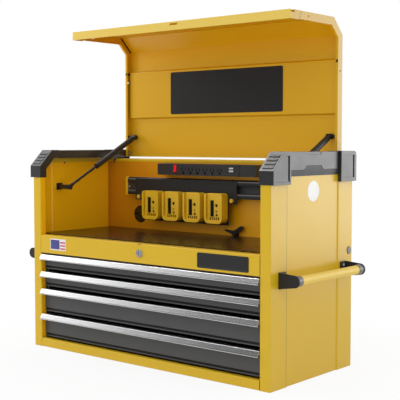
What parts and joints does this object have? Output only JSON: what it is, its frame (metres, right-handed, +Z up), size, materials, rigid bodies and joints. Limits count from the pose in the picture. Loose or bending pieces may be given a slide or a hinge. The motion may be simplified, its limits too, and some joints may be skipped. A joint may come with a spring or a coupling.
{
  "type": "drawer tool chest",
  "caption": "Yellow steel tool chest with slim drawers on ball slides under an open till, black corner caps, tube side handles and a strut-held lid.",
  "frame": {"origin": "middle of the flat underside, on the surface that the chest stands on", "axes": "+X to the right seen from the front, +Y to the rear, +Z up"},
  "size_m": [1.044, 0.41, 0.991],
  "materials": {
    "yellow_paint": "glossy powder coat",
    "charcoal_paint": "satin powder coat",
    "black_paint": "satin powder coat",
    "black_plastic": "fine moulded grain",
    "yellow_plastic": "moulded",
    "gray_plastic": "moulded",
    "red_plastic": "moulded",
    "white_plastic": "moulded",
    "aluminium": "brushed along its length, anodised",
    "zinc_steel": "zinc plated",
    "chrome": "polished",
    "mat_rubber": "smooth, slightly glossy"
  },
  "bodies": {
    "cabinet": {"side_panel_left": "yellow_paint", "side_panel_right": "yellow_paint", "rear_panel": "yellow_paint", "bottom_pan": "yellow_paint", "front_rail": "yellow_paint", "deck_panel": "yellow_paint", "till_back": "yellow_paint", "rear_cover": "yellow_paint", "rail_backing": "yellow_paint", "handle_tube_left": "yellow_paint", "handle_tube_right": "yellow_paint", "deck_mat": "mat_rubber", "cable_grommet": "mat_rubber", "slide_carriers": "zinc_steel", "cabinet_slides": "zinc_steel", "hinge_brackets": "zinc_steel", "front_cap_left": "black_plastic", "front_cap_right": "black_plastic", "rear_cap_left": "black_plastic", "rear_cap_right": "black_plastic", "top_rails": "black_plastic", "power_strip": "black_plastic", "strip_ends": "black_plastic", "cord_cleat": "black_plastic", "handle_brackets": "black_paint", "tool_rail": "black_paint", "accessory_plate": "black_paint", "strut_brackets": "black_paint", "handle_ferrules": "gray_plastic", "hole_plug": "gray_plastic", "battery_holders": "yellow_plastic", "plate_screws": "yellow_plastic", "usb_ports": "white_plastic", "lock_barrel": "chrome"},
    "lid": {"lid_shell": "yellow_paint", "lid_stiffener": "yellow_paint", "lid_studs": "black_paint"},
    "lock": {"lock_cylinder": "chrome", "lock_cam": "zinc_steel"},
    "power_switch": {"power_switch": "red_plastic"},
    "strut_rod_left": {"strut_rod_left": "black_paint"},
    "strut_tube_left": {"strut_tube_left": "black_paint"},
    "strut_rod_right": {"strut_rod_right": "black_paint"},
    "strut_tube_right": {"strut_tube_right": "black_paint"},
    "drawer_1": {"drawer_1": "charcoal_paint", "pull_1": "aluminium", "drawer_slides_1": "zinc_steel"},
    "middle_slides_1": {"middle_slides_1": "zinc_steel"},
    "drawer_2": {"drawer_2": "charcoal_paint", "pull_2": "aluminium", "drawer_slides_2": "zinc_steel"},
    "middle_slides_2": {"middle_slides_2": "zinc_steel"},
    "drawer_3": {"drawer_3": "charcoal_paint", "pull_3": "aluminium", "drawer_slides_3": "zinc_steel"},
    "middle_slides_3": {"middle_slides_3": "zinc_steel"},
    "drawer_4": {"drawer_4": "charcoal_paint", "pull_4": "aluminium", "drawer_slides_4": "zinc_steel"},
    "middle_slides_4": {"middle_slides_4": "zinc_steel"}
  },
  "joints": [
    {"name": "lid_hinge", "type": "hinge", "parent": "cabinet", "child": "lid", "pos_m": [0, 0.188, 0.604], "axis": [1, 0, 0], "range_deg": [0, 90], "stiffness_Nm_per_rad": 3, "springref_deg": -108.86},
    {"name": "strut_left_pivot", "type": "hinge", "parent": "cabinet", "child": "strut_rod_left", "pos_m": [-0.388, -0.113, 0.499], "axis": [1, 0, 0], "range_deg": [-6, 0.5]},
    {"name": "strut_left_slide", "type": "slide", "parent": "strut_rod_left", "child": "strut_tube_left", "axis": [0, 0.8835, 0.4684], "range_m": [-0.07, 0.001]},
    {"name": "strut_right_pivot", "type": "hinge", "parent": "cabinet", "child": "strut_rod_right", "pos_m": [0.388, -0.113, 0.499], "axis": [1, 0, 0], "range_deg": [-6, 0.5]},
    {"name": "strut_right_slide", "type": "slide", "parent": "strut_rod_right", "child": "strut_tube_right", "axis": [0, 0.8835, 0.4684], "range_m": [-0.07, 0.001]},
    {"name": "drawer_1_slide", "type": "slide", "parent": "cabinet", "child": "drawer_1", "axis": [0, -1, 0], "range_m": [0, 0.31]},
    {"name": "middle_slides_1_slide", "type": "slide", "parent": "cabinet", "child": "middle_slides_1", "axis": [0, -1, 0], "range_m": [0, 0.156]},
    {"name": "drawer_2_slide", "type": "slide", "parent": "cabinet", "child": "drawer_2", "axis": [0, -1, 0], "range_m": [0, 0.31]},
    {"name": "middle_slides_2_slide", "type": "slide", "parent": "cabinet", "child": "middle_slides_2", "axis": [0, -1, 0], "range_m": [0, 0.156]},
    {"name": "drawer_3_slide", "type": "slide", "parent": "cabinet", "child": "drawer_3", "axis": [0, -1, 0], "range_m": [0, 0.31]},
    {"name": "middle_slides_3_slide", "type": "slide", "parent": "cabinet", "child": "middle_slides_3", "axis": [0, -1, 0], "range_m": [0, 0.156]},
    {"name": "drawer_4_slide", "type": "slide", "parent": "cabinet", "child": "drawer_4", "axis": [0, -1, 0], "range_m": [0, 0.31]},
    {"name": "middle_slides_4_slide", "type": "slide", "parent": "cabinet", "child": "middle_slides_4", "axis": [0, -1, 0], "range_m": [0, 0.156]},
    {"name": "lock_turn", "type": "hinge", "parent": "cabinet", "child": "lock", "pos_m": [0, -0.199, 0.3247], "axis": [0, -1, 0], "range_deg": [0, 90]},
    {"name": "power_switch_rock", "type": "hinge", "parent": "cabinet", "child": "power_switch", "pos_m": [-0.128, 0.105, 0.557], "axis": [1, 0, 0], "range_deg": [0, 14]}
  ],
  "couplings": [
    {"joint": "strut_left_pivot", "follows": "lid_hinge", "ratio": -0.06195},
    {"joint": "strut_left_slide", "follows": "lid_hinge", "m_per_rad": -0.04401},
    {"joint": "strut_right_pivot", "follows": "lid_hinge", "ratio": -0.06195},
    {"joint": "strut_right_slide", "follows": "lid_hinge", "m_per_rad": -0.04401},
    {"joint": "middle_slides_1_slide", "follows": "drawer_1_slide", "ratio": 0.5},
    {"joint": "middle_slides_2_slide", "follows": "drawer_2_slide", "ratio": 0.5},
    {"joint": "middle_slides_3_slide", "follows": "drawer_3_slide", "ratio": 0.5},
    {"joint": "middle_slides_4_slide", "follows": "drawer_4_slide", "ratio": 0.5}
  ]
}
